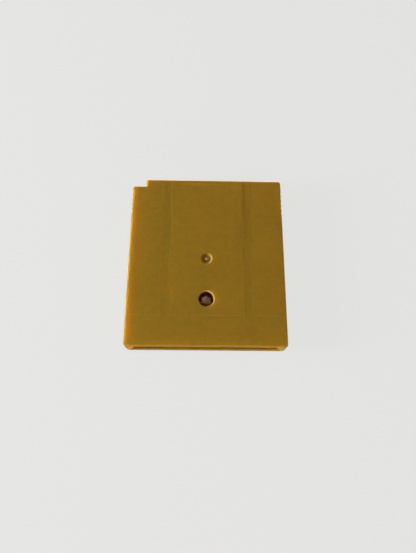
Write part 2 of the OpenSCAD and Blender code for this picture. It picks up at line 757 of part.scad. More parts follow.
// Two rows of gull-wing leads beside a chip body
module lead_rows(w, h, reach, count, spacing, width) {
  mid = standoff + h / 2;
  knee = reach * (1 - foot_share);
  crook = reach * shoulder_share;
  color("#b9bcc0") for (s = [0, 180], i = [0 : count - 1])
    rotate(s) translate([w / 2, (i - (count - 1) / 2) * spacing, 0]) rotate([90, 0, 0])
      linear_extrude(width, center = true) polygon([
        [0, mid - lead_t / 2], [crook, mid - lead_t / 2], [knee, 0], [reach, 0],
        [reach, lead_t], [knee + lead_t, lead_t], [crook + lead_t, mid + lead_t / 2], [0, mid + lead_t / 2]
      ]);
}

// The program memory
module rom_body() {
  on_board(rom_x, rom_y) chip_body(rom_w, rom_l, rom_h);
}

// The program memory's leads
module rom_leads() {
  on_board(rom_x, rom_y) lead_rows(rom_w, rom_h, rom_reach, rom_leads_a_side, lead_spacing, lead_w);
}

// The bank controller with its clock
module mapper_body() {
  on_board(middle_x, mapper_y) chip_body(mapper_w, mapper_w, mapper_h);
}

// The bank controller's leads on all four sides
module mapper_leads() {
  on_board(middle_x, mapper_y) for (turn = [0, 90])
    rotate(turn) lead_rows(mapper_w, mapper_h, mapper_reach, mapper_leads_a_side, mapper_spacing, mapper_lead_w);
}

// The save memory, lying across the board
module ram_body() {
  on_board(cell_x, ram_y) rotate(90) chip_body(ram_w, ram_l, ram_h);
}

// The save memory's leads
module ram_leads() {
  on_board(cell_x, ram_y) rotate(90) lead_rows(ram_w, ram_h, ram_reach, ram_leads_a_side, lead_spacing, lead_w);
}

// The chip that switches the save memory over to the cell
module supervisor_body() {
  on_board(middle_x, supervisor_y) rotate(90) chip_body(supervisor_w, supervisor_l, supervisor_h);
}

// The switch-over chip's leads
module supervisor_leads() {
  on_board(middle_x, supervisor_y) rotate(90)
    lead_rows(supervisor_w, supervisor_h, supervisor_reach, supervisor_leads_a_side, lead_spacing, lead_w);
}

// The lithium cell, its small pole towards the board
module coin_cell() {
  r = cell_d / 2;
  color("#c4c6c8") on_board(cell_x, cell_y) translate([0, 0, tab_t]) rotate_extrude() polygon([
    [0, 0], [r - cell_seal_w, 0], [r - cell_seal_w, cell_step], [r - cell_chamfer, cell_step],
    [r, cell_step + cell_chamfer], [r, cell_h - cell_chamfer], [r - cell_chamfer, cell_h], [0, cell_h]
  ]);
}

// Distance from the cell's middle to its rim at the inner side of a tab, and where the tabs start
tab_rim = sqrt(pow(cell_d / 2, 2) - pow((tab_spacing - tab_w) / 2, 2));
tab_start = cell_d / 4;

// The tab over the cell's case, down past its rim to a foot on the board
module cell_plus_tab() {
  top = tab_t + cell_h;
  inner = tab_rim + tab_gap;
  outer = inner + tab_t;
  color("#b9bcc0") on_board(cell_x, cell_y) translate([tab_spacing / 2 + tab_w / 2, 0, 0]) rotate([90, 0, -90])
    linear_extrude(tab_w) polygon([
      [tab_start, top], [inner, top], [inner, 0], [outer + tab_foot, 0],
      [outer + tab_foot, tab_t], [outer, tab_t], [outer, top + tab_t], [tab_start, top + tab_t]
    ]);
}

// The flat tab between the cell's small pole and the board, out to its foot
module cell_minus_tab() {
  reach = tab_rim + tab_gap + tab_t + tab_foot;
  color("#b9bcc0") on_board(cell_x, cell_y)
    translate([-tab_spacing / 2 - tab_w / 2, -reach, 0]) cube([tab_w, reach - tab_start, tab_t]);
}

// Height of the crystal's axis over the board
crystal_axis = crystal_base_d / 2 + standoff;

// The clock crystal's can, lying along X with its rolled base towards its leads
module crystal_can() {
  color("#c9ccd0") on_board(middle_x, crystal_y)
    translate([-crystal_l / 2, 0, crystal_axis]) rotate([0, 90, 0]) {
      cylinder(h = crystal_l, d = crystal_d);
      cylinder(h = crystal_base_l, d = crystal_base_d);
    }
}

// The crystal's two leads, bent down to the board
module crystal_leads() {
  color("#b9bcc0") on_board(middle_x, crystal_y) for (s = [-1, 1])
    translate([-crystal_l / 2 - wire_run, s * wire_spacing / 2, crystal_axis]) {
      rotate([0, 90, 0]) cylinder(h = wire_run, d = wire_d);
      translate([0, 0, -wire_bend_r]) rotate([90, 0, 0]) rotate(90)
        rotate_extrude(angle = 90) translate([wire_bend_r, 0]) circle(d = wire_d);
      translate([-wire_bend_r, 0, -crystal_axis]) cylinder(h = crystal_axis - wire_bend_r, d = wire_d);
    }
}

// The body of a chip capacitor or resistor between its metal ends, along X
module small_body(h) {
  l = chip_l - 2 * chip_end;
  translate([-l / 2, -chip_w / 2 + chip_step, chip_step]) cube([l, chip_w - 2 * chip_step, h - 2 * chip_step]);
}

// The two metal ends of a chip capacitor or resistor
module small_ends(h) {
  for (s = [0, 180]) rotate(s) translate([chip_l / 2 - chip_end, -chip_w / 2, 0]) cube([chip_end, chip_w, h]);
}

// Places of the capacitors: one row between the cross rib and the well
module at_capacitors() {
  for (share = capacitor_shares) on_board(share * board_w, capacitor_y) children();
}

// Places of the resistors: a pair on each side of the switch-over chip
module at_resistors() {
  for (y = [low_resistor_y, high_resistor_y], s = [-1, 1])
    on_board(middle_x + s * resistor_spacing / 2, y) children();
}

// The chip capacitors' ceramic bodies
module capacitor_bodies() {
  color("#a08660") at_capacitors() small_body(capacitor_h);
}

// The chip capacitors' metal ends
module capacitor_ends() {
  color("#b9bcc0") at_capacitors() small_ends(capacitor_h);
}

// The chip resistors' bodies
module resistor_bodies() {
  color("#2b2b2b") at_resistors() small_body(resistor_h);
}

// The chip resistors' metal ends
module resistor_ends() {
  color("#b9bcc0") at_resistors() small_ends(resistor_h);
}

back_shell();
front_shell();
case_screw();
circuit_board();
contact_fingers();
rom_body();
rom_leads();
mapper_body();
mapper_leads();
ram_body();
ram_leads();
supervisor_body();
supervisor_leads();
coin_cell();
cell_plus_tab();
cell_minus_tab();
crystal_can();
crystal_leads();
capacitor_bodies();
capacitor_ends();
resistor_bodies();
resistor_ends();
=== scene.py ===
"""Looks of a gold handheld game cartridge that lies on its label face with its back up.

Lengths are millimetres until a mesh or a lamp is made. X runs across, Y from the connector
mouth to the grip end, and Z up out of the back face, as in the fixed frame.
"""

import math

import bpy
import numpy as np
from mathutils import Matrix, Vector


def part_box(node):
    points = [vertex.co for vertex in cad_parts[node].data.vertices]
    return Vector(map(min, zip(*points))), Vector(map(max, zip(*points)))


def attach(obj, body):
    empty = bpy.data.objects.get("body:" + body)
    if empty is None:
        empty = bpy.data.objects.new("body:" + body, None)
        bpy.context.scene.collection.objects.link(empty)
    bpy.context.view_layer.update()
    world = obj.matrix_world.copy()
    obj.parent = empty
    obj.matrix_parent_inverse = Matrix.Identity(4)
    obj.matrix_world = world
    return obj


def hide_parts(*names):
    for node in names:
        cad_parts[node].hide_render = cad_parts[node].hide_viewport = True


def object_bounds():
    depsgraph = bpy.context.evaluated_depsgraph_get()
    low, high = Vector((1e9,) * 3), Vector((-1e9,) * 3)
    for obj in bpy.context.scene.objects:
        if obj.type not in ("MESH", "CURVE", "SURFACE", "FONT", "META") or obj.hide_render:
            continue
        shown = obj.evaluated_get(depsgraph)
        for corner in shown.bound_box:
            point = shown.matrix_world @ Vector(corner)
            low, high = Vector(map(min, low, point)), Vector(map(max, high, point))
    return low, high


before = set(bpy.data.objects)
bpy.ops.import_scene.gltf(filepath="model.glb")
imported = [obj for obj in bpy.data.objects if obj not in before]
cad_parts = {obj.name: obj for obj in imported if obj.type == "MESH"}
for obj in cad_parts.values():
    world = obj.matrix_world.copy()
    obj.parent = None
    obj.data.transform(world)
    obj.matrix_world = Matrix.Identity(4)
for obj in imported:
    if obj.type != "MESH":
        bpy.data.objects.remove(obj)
cad_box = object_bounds()

MM = 0.001
BACKGROUND = (0.7758, 0.7758, 0.7605, 1.0)


def node_box(name):
    """A CAD node's lowest and highest corners in millimetres."""
    return tuple(np.array(corner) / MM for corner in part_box(name))


# The screw, read from the solid that it stands for
screw_low, screw_high = node_box("case_screw")
SCREW_Y = float(screw_low[1] + screw_high[1]) / 2
FLANGE_R = float(screw_high[0])
WELL_R = FLANGE_R + 0.45


# Shader maths


class Wire:
    """A socket of a node tree. Arithmetic on it adds the Math node that works it out."""

    def __init__(self, tree, socket):
        self.tree, self.socket = tree, socket

    def node(self, kind, settings=None, inputs=None, output=0):
        """Adds any other node: its type, its settings, and the values or links of its sockets."""
        made = self.tree.nodes.new(kind)
        for name, value in (settings or {}).items():
            if name == "stops":
                ramp = made.color_ramp
                while len(ramp.elements) < len(value):
                    ramp.elements.new(0.5)
                for element, (place, colour) in zip(ramp.elements, value):
                    element.position, element.color = place, colour
            else:
                setattr(made, name, value)
        by_key = {}
        for socket in made.inputs:
            by_key.setdefault(socket.name, socket)
            by_key[socket.identifier] = socket
        for key, value in (inputs or {}).items():
            socket = made.inputs[key] if isinstance(key, int) else by_key[key]
            if isinstance(value, Wire):
                self.tree.links.new(value.socket, socket)
            else:
                socket.default_value = value
        found = made.outputs[output] if isinstance(output, int) else None
        for socket in made.outputs:
            if found is None and output in (socket.identifier, socket.name):
                found = socket
        return Wire(self.tree, found)

    def maths(self, operation, *operands):
        return self.node("ShaderNodeMath", {"operation": operation}, dict(enumerate(operands)))

    def __add__(self, other):
        return self.maths("ADD", self, other)

    __radd__ = __add__

    def __sub__(self, other):
        return self.maths("SUBTRACT", self, other)

    def __rsub__(self, other):
        return self.maths("SUBTRACT", other, self)

    def __mul__(self, other):
        return self.maths("MULTIPLY", self, other)

    __rmul__ = __mul__

    def __gt__(self, other):
        return self.maths("GREATER_THAN", self, other)

    def __lt__(self, other):
        return self.maths("LESS_THAN", self, other)

    def __abs__(self):
        return self.maths("ABSOLUTE", self)

    def least(self, other):
        return self.maths("MINIMUM", self, other)

    def most(self, other):
        return self.maths("MAXIMUM", self, other)

    def root(self):
        return self.maths("SQRT", self)

    def wrap(self, period):
        """Distance from the nearest whole multiple of the period."""
        return abs(self.maths("WRAP", self, period / 2, -period / 2))

    def step(self, low, high):
        """0 below low, 1 above high, and a smooth rise between them."""
        return self.node(
            "ShaderNodeMapRange",
            {"interpolation_type": "SMOOTHSTEP"},
            {"Value": self, "From Min": low, "From Max": high},
        )

    def band(self, middle, half_width, soft):
        """1 inside a band round a middle value, with soft flanks outside it."""
        return 1 - abs(self - middle).step(half_width, half_width + soft)

    def blend(self, low, high):
        """Two colours or colour wires mixed by this value."""
        return self.node(
            "ShaderNodeMix",
            {"data_type": "RGBA"},
            {"Factor_Float": self, "A_Color": low, "B_Color": high},
            "Result_Color",
        )


class Finish:
    """One material: a Principled shader on Object coordinates in millimetres."""

    def __init__(self, name, **constants):
        self.material = bpy.data.materials.new(name)
        self.material.use_nodes = True
        self.tree = self.material.node_tree
        self.shader = self.tree.nodes["Principled BSDF"]
        for socket, value in constants.items():
            self.shader.inputs[socket.replace("_", " ")].default_value = value
        start = Wire(self.tree, None)
        self.node = start.node
        coordinates = self.node("ShaderNodeTexCoord", output="Object")
        self.point = self.node(
            "ShaderNodeVectorMath",
            {"operation": "SCALE"},
            {0: coordinates, "Scale": 1000.0},
        )
        self.x, self.y, self.z = (
            self.node("ShaderNodeSeparateXYZ", inputs={0: self.point}, output=i) for i in range(3)
        )

    def put(self, socket, wire):
        """Feeds one of the shader's sockets."""
        self.tree.links.new(wire.socket, self.shader.inputs[socket])

    def stretched(self, sx, sy, sz):
        """The point in millimetres, scaled along each axis."""
        return self.node(
            "ShaderNodeVectorMath",
            {"operation": "MULTIPLY"},
            {0: self.point, 1: (sx, sy, sz)},
        )

    def noise(self, size, detail=2.0, roughness=0.5, where=None, output="Factor"):
        """Noise whose grain is about size millimetres across."""
        key = "Fac" if output == "Factor" else output
        return self.node(
            "ShaderNodeTexNoise",
            inputs={
                "Vector": where or self.point,
                "Scale": 1 / size,
                "Detail": detail,
                "Roughness": roughness,
            },
            output=key,
        )

    def cells(self, size, output="Distance", where=None, feature="F1"):
        """Cells about size millimetres across."""
        return self.node(
            "ShaderNodeTexVoronoi",
            {"feature": feature},
            {"Vector": where or self.point, "Scale": 1 / size},
            output,
        )

    def from_axis(self, x=0.0, y=0.0):
        """Distance in millimetres from the upright axis through x and y."""
        across, along = self.x - x, self.y - y
        return (across * across + along * along).root()

    def part(self, colour, index):
        """One channel of a colour: 0 is red, 1 is green and 2 is blue."""
        return self.node("ShaderNodeSeparateColor", inputs={0: colour}, output=index)

    def relief(self, height, depth_mm, strength=1.0):
        """Surface relief: height runs from 0 to 1 over depth_mm."""
        self.put(
            "Normal",
            self.node(
                "ShaderNodeBump",
                inputs={"Strength": strength, "Distance": depth_mm * MM, "Height": height},
            ),
        )


# Finishes


def gold_plastic():
    """Moulded gold plastic: fine metal flakes in a slightly translucent body, with an even satin skin."""
    f = Finish(
        "gold_plastic",
        Subsurface_Weight=1.0,
        Subsurface_Radius=(5.6, 2.6, 0.6),
        Subsurface_Scale=MM,
        Specular_IOR_Level=0.08,
        Coat_Roughness=0.10,
        Coat_IOR=1.8,
    )
    f.shader.subsurface_method = "BURLEY"
    flake = 0.28
    flow = f.noise(9.0, 3.0)
    flakes = f.cells(flake, "Color")
    pick, shade = f.part(flakes, 0), f.part(flakes, 1)
    near = 1 - f.cells(flake).step(0.05, 0.45)
    glint = pick.step(0.92, 0.98) * near
    mottle = f.noise(0.8, 2.0) + f.noise(2.6, 2.0)
    level = 0.91 + flow * 0.12 + (mottle - 1) * 0.20 + (shade - 0.5) * 0.2 * near

    # The channels end at the cross line, and their floors are a little darker
    channel_x, channel_flank = 15.0, 1.61
    back_face = f.z.step(7.6, 7.7) * f.y.step(-21.8, -21.5)
    beside = abs(abs(f.x) - channel_x).step(channel_flank - 0.21, channel_flank + 0.09)
    level = level * (0.955 + 0.045 * (beside * back_face + 1 - back_face))
    body = level.blend((0, 0, 0, 1), (0.245, 0.134, 0.011, 1))

    # The left edge and the side of the notch, with a painted glow where light from the left comes through the
    # plastic
    edge_x, notch_x, notch_y = float(cad_box[0][0]) / MM, -23.5, 29.5
    upper = f.z.step(6.9, 7.5)
    left_edge_painted_glow = (1 - (f.x - edge_x).step(0.8, 2.8)) * upper
    body = (left_edge_painted_glow * 0.125).blend(body, (0.50, 0.29, 0.018, 1))
    notch_painted_glow = (1 - (f.x - notch_x).step(0.3, 1.5)) * f.y.step(notch_y, notch_y + 0.4) * upper
    body = (notch_painted_glow * 0.35).blend(body, (0.75, 0.38, 0.010, 1))

    # The screw well's wall, painted deep red shade where little light comes back
    from_screw = f.from_axis(0.0, SCREW_Y)
    bore = (from_screw < WELL_R + 0.04) * f.z.step(3.6, 3.7) * (1 - f.z.step(7.44, 7.5))
    depth = f.z.step(4.6, 6.8).blend((0.34, 0.040, 0.008, 1), (0.050, 0.007, 0.002, 1))
    body = bore.blend(body, depth)

    # The gate dish, with painted shade on its dark left side and painted light on its right, a painted
    # highlight on its pale right rim and on its bright nub, and a painted glow right of dish and well
    from_gate = f.from_axis()
    dish = (1 - from_gate.step(1.7, 2.05)) * f.z.step(7.0, 7.1) * (1 - f.z.step(7.6, 7.78))
    dish_painted_shade_and_light = f.x.step(-0.3, 0.7).blend((0.14, 0.035, 0.002, 1), (0.22, 0.155, 0.025, 1))
    body = (dish * 0.7).blend(body, dish_painted_shade_and_light)
    # Painted highlight on the right of the dish's rim
    dish_rim_painted_highlight = from_gate.band(1.98, 0.12, 0.14) * f.x.step(0.5, 1.4) * f.z.step(7.3, 7.5)
    body = (dish_rim_painted_highlight * 0.6).blend(body, (0.56, 0.36, 0.10, 1))
    # Painted glow on the face right of the well and of the dish
    well_painted_glow = (1 - from_screw.step(2.9, 4.8)) * f.x.step(0.0, 3.0)
    dish_painted_glow = (1 - from_gate.step(2.0, 3.4)) * f.x.step(0.5, 2.4) * 0.5
    painted_glow_right = well_painted_glow.most(dish_painted_glow) * f.z.step(7.7, 7.79)
    body = (painted_glow_right * 0.6).blend(body, (0.38, 0.175, 0.009, 1))
    # The nub's pale colour is a painted highlight
    nub = (1 - from_gate.step(0.40, 0.46)) * f.z.step(7.3, 7.4)
    body = nub.blend(body, (0.56, 0.41, 0.21, 1))

    # Painted shade inside the connector slot
    slot_painted_shade = (abs(f.x) < 25.62) * (f.z > 1.05) * (f.z < 6.75)
    slot_painted_shade = slot_painted_shade * f.y.step(-32.1, -31.7) * (f.y < -21.9)
    body = (slot_painted_shade * 0.6).blend(body, (0.07, 0.022, 0.002, 1))

    # The channels' flanks: painted shade on each channel's right flank, which faces the light, and painted
    # light on its left one, which faces away
    line = (0, 0.06, 0.1)
    inner, outer = channel_x - channel_flank, channel_x + channel_flank
    lit_flank_painted_shade = (f.x + inner).band(*line).most((f.x - outer).band(*line))
    shaded_flank_painted_light = (f.x + outer).band(*line).most((f.x - inner).band(*line))
    body = (lit_flank_painted_shade * back_face * 0.5).blend(body, (0.05, 0.022, 0.002, 1))
    body = (shaded_flank_painted_light * back_face * 0.3).blend(body, (0.50, 0.28, 0.02, 1))

    # The well's lip, with a painted highlight on its right side
    lip = from_screw.band(WELL_R + 0.2, 0.22, 0.05) * f.z.step(7.40, 7.48) * f.x.step(-0.8, 1.6)
    body = (lip * 0.7).blend(body, (0.40, 0.29, 0.08, 1))

    # Paler flakes: partly the flakes' own metal and partly a painted glint
    f.put("Base Color", (glint * 0.6).blend(body, (0.62, 0.42, 0.13, 1)))
    f.put("Roughness", 0.40 + f.noise(0.5) * 0.08 - glint * 0.12)
    f.put("Coat Weight", (nub * 0.7).most(lip * 0.06))
    f.relief(f.noise(0.12, 1.0) * 0.6 + shade * near * 0.4, 0.01, 0.35)
    return f.material


def pad_rows(f, name, across, spacing, count):
    """1 on two rows of pads under a chip's lead feet, which point along the axis across: 0 is X, 1 is Y."""
    low, high = node_box(name)
    middle, half = (low + high) / 2, (high - low) / 2
    along = 1 - across
    reach = abs((f.x, f.y)[across] - middle[across])
    place = (f.x, f.y)[along] - middle[along]
    row = (reach > half[across] - 0.85) * (reach < half[across] + 0.3)
    return row * ((place + spacing / 2).wrap(spacing) < 0.32) * (abs(place) < spacing * count / 2)


def box_pad(f, name, side, length, margin=0.25):
    """1 on a pad that holds the end of a node's box on one side: -1 is its low Y end and 1 its high Y end."""
    low, high = node_box(name)
    end = low[1] if side < 0 else high[1]
    middle = (low + high) / 2
    inward = (f.y - end) * -side
    wide = abs(f.x - middle[0]) < (high - low)[0] / 2 + margin
    return wide * (inward > -margin) * (inward < length + margin)


def board_laminate():
    """Circuit board: green mask over copper, with tinned pads, and bare woven glass at its edges."""
    f = Finish("board_laminate")
    low, high = node_box("circuit_board")
    parts_side = f.z < (low[2] + high[2]) / 2
    lane_down = f.x + f.y.wrap(9.0).most(1.0).least(2.6)
    lane_across = f.y + f.x.wrap(11.0).most(1.2).least(2.8)
    lane = parts_side * lane_down + (1 - parts_side) * lane_across
    bundle = lane.wrap(6.75)
    track = (lane.wrap(0.75) < 0.14) * (bundle < 2.45)
    copper = track.most(bundle > 2.8)
    flat = f.stretched(1, 1, 0)
    hole = f.cells(2.6, where=flat)
    via = hole < 0.12
    bore = hole < 0.05
    pads = pad_rows(f, "rom_leads", 0, 1.27, 22)
    pads = pads.most(pad_rows(f, "mapper_leads", 0, 0.8, 8)).most(pad_rows(f, "mapper_leads", 1, 0.8, 8))
    pads = pads.most(pad_rows(f, "ram_leads", 1, 1.27, 14)).most(pad_rows(f, "supervisor_leads", 1, 1.27, 4))
    pads = pads.most(box_pad(f, "cell_plus_tab", -1, 1.0)).most(box_pad(f, "cell_minus_tab", -1, 1.0))
    pads = pads.most(box_pad(f, "cell_plus_tab", 1, 1.0)).most(box_pad(f, "cell_minus_tab", 1, 1.0))
    pads = pads * parts_side
    edge = (f.z > float(low[2]) + 0.03) * (f.z < float(high[2]) - 0.03)
    plug_end = f.y < float(low[1]) + 8.7
    bare = edge.most(plug_end * parts_side)
    weave = f.x.wrap(0.5) * 4 * (0.5 - f.y.wrap(0.5) * 2).most(0) + f.noise(0.3) * 0.4
    glass = weave.blend((0.13, 0.10, 0.035, 1), (0.23, 0.19, 0.08, 1))
    mask = copper.blend((0.010, 0.075, 0.026, 1), (0.020, 0.155, 0.052, 1))
    mask = (via * 0.7).blend(mask, (0.035, 0.17, 0.07, 1))
    # Each via's hole is a painted dark dot of shade
    mask = bore.blend(mask, (0.004, 0.012, 0.006, 1))
    tone = 0.88 + f.noise(6.0, 3.0) * 0.24
    mask = f.node("ShaderNodeVectorMath", {"operation": "SCALE"}, {0: mask, "Scale": tone})
    colour = bare.blend(mask, glass)
    f.put("Base Color", pads.blend(colour, (0.62, 0.61, 0.58, 1)))
    f.put("Metallic", pads)
    f.put("Roughness", 0.30 + bare * 0.35 + f.noise(0.8) * 0.10)
    f.relief((1 - bare) * (copper * 0.7 + via * 0.3 - bore) + bare * weave * 0.3, 0.035, 0.7)
    return f.material


def contact_gold():
    """Gold plating, polished along Y by plugging in, with a duller, warmer tone where it was never rubbed."""
    f = Finish("contact_gold", Metallic=1.0)
    streaks = f.noise(0.09, 3.0, 0.6, f.stretched(1, 0.03, 1))
    tips_y = float(node_box("contact_fingers")[0][1])
    rubbed = f.y.step(tips_y + 3.5, tips_y + 6.5)
    tone = (streaks * 0.5 + rubbed * 0.4).blend((0.86, 0.62, 0.25, 1), (0.66, 0.42, 0.13, 1))
    f.put("Base Color", tone)
    f.put("Roughness", 0.20 + streaks * 0.16 + rubbed * 0.10)
    f.relief(streaks, 0.004, 0.5)
    return f.material


def chip_epoxy():
    """Moulded black epoxy with a fine eroded grain, a little greyer where the filler shows."""
    f = Finish("chip_epoxy")
    grain = f.noise(0.10, 3.0, 0.6)
    cloud = f.noise(2.2, 2.0)
    f.put("Base Color", (grain * 0.7 + cloud * 0.3).blend((0.010, 0.010, 0.011, 1), (0.034, 0.034, 0.036, 1)))
    f.put("Roughness", 0.52 + grain * 0.18)
    f.relief(grain, 0.012, 0.7)
    return f.material


def tinned_metal():
    """Dull tin over metal: cloudy, finely grained, with yellowish stains of dried flux."""
    f = Finish("tinned_metal", Metallic=1.0)
    cloud = f.noise(0.6, 4.0, 0.6)
    stain = f.noise(1.7, 3.0).step(0.58, 0.72)
    tone = cloud.blend((0.48, 0.48, 0.47, 1), (0.70, 0.70, 0.68, 1))
    f.put("Base Color", (stain * 0.5).blend(tone, (0.42, 0.33, 0.17, 1)))
    f.put("Roughness", 0.26 + cloud * 0.2)
    f.relief(f.noise(0.12, 2.0), 0.008, 0.6)
    return f.material


def turned_steel():
    """The cell's polished steel: fine turned rings round its middle and a dark seal round its small pole."""
    f = Finish("turned_steel", Metallic=1.0)
    low, high = node_box("coin_cell")
    middle, radius = (low + high) / 2, float(high[0] - low[0]) / 2
    from_middle = f.from_axis(middle[0], middle[1])
    rings = from_middle.wrap(0.11) * 9 + f.noise(0.4, 3.0) * 0.5
    seal = from_middle.band(radius - 1.3, 0.2, 0.04) * (f.z > float(high[2]) - 0.5)
    steel = rings.blend((0.56, 0.56, 0.55, 1), (0.74, 0.74, 0.73, 1))
    f.put("Base Color", (seal * 0.95).blend(steel, (0.02, 0.02, 0.02, 1)))
    f.put("Metallic", 1 - seal)
    f.put("Roughness", 0.20 + rings * 0.10 + f.noise(1.5, 3.0) * 0.08 + seal * 0.3)
    f.relief(rings, 0.006, 0.5)
    return f.material


def drawn_can():
    """The crystal's drawn can: satin metal with die streaks along X and faint handling marks."""
    f = Finish("drawn_can", Metallic=1.0)
    streaks = f.noise(0.08, 3.0, 0.6, f.stretched(0.04, 1, 1))
    marks = f.noise(0.9, 3.0)
    f.put("Base Color", (streaks * 0.6 + marks * 0.4).blend((0.55, 0.54, 0.50, 1), (0.76, 0.75, 0.72, 1)))
    f.put("Roughness", 0.18 + streaks * 0.15 + marks * 0.08)
    f.relief(streaks, 0.006, 0.5)
    return f.material


def capacitor_ceramic():
    """Fired tan ceramic with fine dark and pale specks."""
    f = Finish("capacitor_ceramic", Roughness=0.45)
    specks = f.noise(0.07, 2.0).step(0.60, 0.70)
    tone = f.noise(0.8, 3.0).blend((0.26, 0.165, 0.08, 1), (0.42, 0.29, 0.16, 1))
    f.put("Base Color", (specks * 0.5).blend(tone, (0.16, 0.10, 0.06, 1)))
    f.relief(f.noise(0.06, 2.0), 0.006, 0.5)
    return f.material


def resistor_ceramic():
    """White alumina with a black glass coat over the side that faces away from the board."""
    f = Finish("resistor_ceramic")
    far_z = float(node_box("resistor_bodies")[0][2])
    coat = 1 - f.z.step(far_z + 0.05, far_z + 0.09)
    alumina = f.noise(0.12, 3.0).blend((0.60, 0.59, 0.56, 1), (0.76, 0.75, 0.72, 1))
    glass = f.noise(0.3, 3.0).blend((0.012, 0.012, 0.014, 1), (0.030, 0.030, 0.034, 1))
    f.put("Base Color", coat.blend(alumina, glass))
    f.put("Roughness", 0.55 - coat * 0.33 + f.noise(0.3) * 0.1)
    f.relief(f.noise(0.08, 2.0), 0.005, 0.5)
    return f.material


def screw_steel():
    """Dulled, brass-tinted screw: a worn top with pale specks, partly painted glints, and a chipped edge, a
    painted highlight along the right of its head, and hollows, flange and shank painted dark red for the red
    light of the plastic well.
    """
    f = Finish("screw_steel")
    side = f.x - 0.35 + (f.noise(0.6, 3.0) - 0.5) * 3.0
    below = SCREW_Y - f.y
    wear = (1 - side.step(-0.25, 0.25)) * f.x.step(-1.6, -1.3) * (1 - below.step(0.6, 0.9))
    from_axis = f.from_axis(0.0, SCREW_Y)
    chipped = from_axis.step(0.8, 1.0) * (below * 0.8 - f.x * 0.6).step(0.7, 0.95)
    specks = (1 - f.cells(0.50).step(0.20, 0.34)) * chipped
    specks = specks.most(f.noise(0.24, 2.0).step(0.62, 0.68))
    right_rim_painted_highlight = from_axis.band(1.62, 0.07, 0.08) * f.x.step(0.8, 1.2)
    top_z = float(screw_high[2])
    top = f.z.step(top_z - 0.22, top_z - 0.02)
    tone = wear.blend((0.40, 0.24, 0.065, 1), (0.60, 0.50, 0.23, 1))
    tone = (chipped * 0.8).blend(tone, (0.16, 0.022, 0.008, 1))
    # Painted highlight along the right of the head's rim
    tone = (right_rim_painted_highlight * 0.6).blend(tone, (0.66, 0.44, 0.28, 1))
    # Below the top, the head's sides and hollows, the flange and the shank are painted dark red for the red
    # light of the plastic well round them
    tone = (top * 0.9).blend((0.50, 0.060, 0.016, 1), tone)
    # Pale specks: partly bare worn metal and partly painted glints
    f.put("Base Color", (specks * top).blend(tone, (0.90, 0.74, 0.56, 1)))
    f.put("Metallic", top * (0.6 - chipped * 0.5))
    f.put("Roughness", 0.5 - wear * 0.14 - specks * 0.1)
    f.relief(f.noise(0.09, 3.0) * 0.7 + wear * 0.3, 0.03, 0.6)
    return f.material


# Pieces


def sheet_mesh(name, points, finish):
    """A closed surface from a grid of rings: points[ring, step] in millimetres, each ring closed round.

    Neighbouring rings are joined by quads. A first or last ring whose points are all alike is a pole,
    and the quads round it are triangles. Points that no face uses are left out.
    """
    rings, steps = points.shape[:2]
    index = np.arange(rings * steps).reshape(rings, steps)
    index[0, :] = index[0, 0]
    index[-1, :] = index[-1, 0]
    a, b = index[:-1], np.roll(index, -1, 1)[:-1]
    c, d = np.roll(index, -1, 1)[1:], index[1:]
    quads = np.stack([a, b, c, d], -1).reshape(-1, 4)
    top, base = quads[:steps], quads[-steps:]
    faces = quads[steps:-steps].tolist() + top[:, [0, 2, 3]].tolist() + base[:, [0, 1, 2]].tolist()
    used, where = np.unique(np.concatenate([np.ravel(face) for face in faces]), return_inverse=True)
    counts = [len(face) for face in faces]
    starts = np.cumsum([0] + counts)
    faces = [where[i:j].tolist() for i, j in zip(starts[:-1], starts[1:])]
    mesh = bpy.data.meshes.new(name)
    mesh.from_pydata((points.reshape(-1, 3)[used] * MM).tolist(), [], faces)
    mesh.polygons.foreach_set("use_smooth", np.ones(len(mesh.polygons), bool))
    mesh.update()
    mesh.materials.append(finish)
    made = bpy.data.objects.new(name, mesh)
    bpy.context.scene.collection.objects.link(made)
    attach(made, "root")
    return made


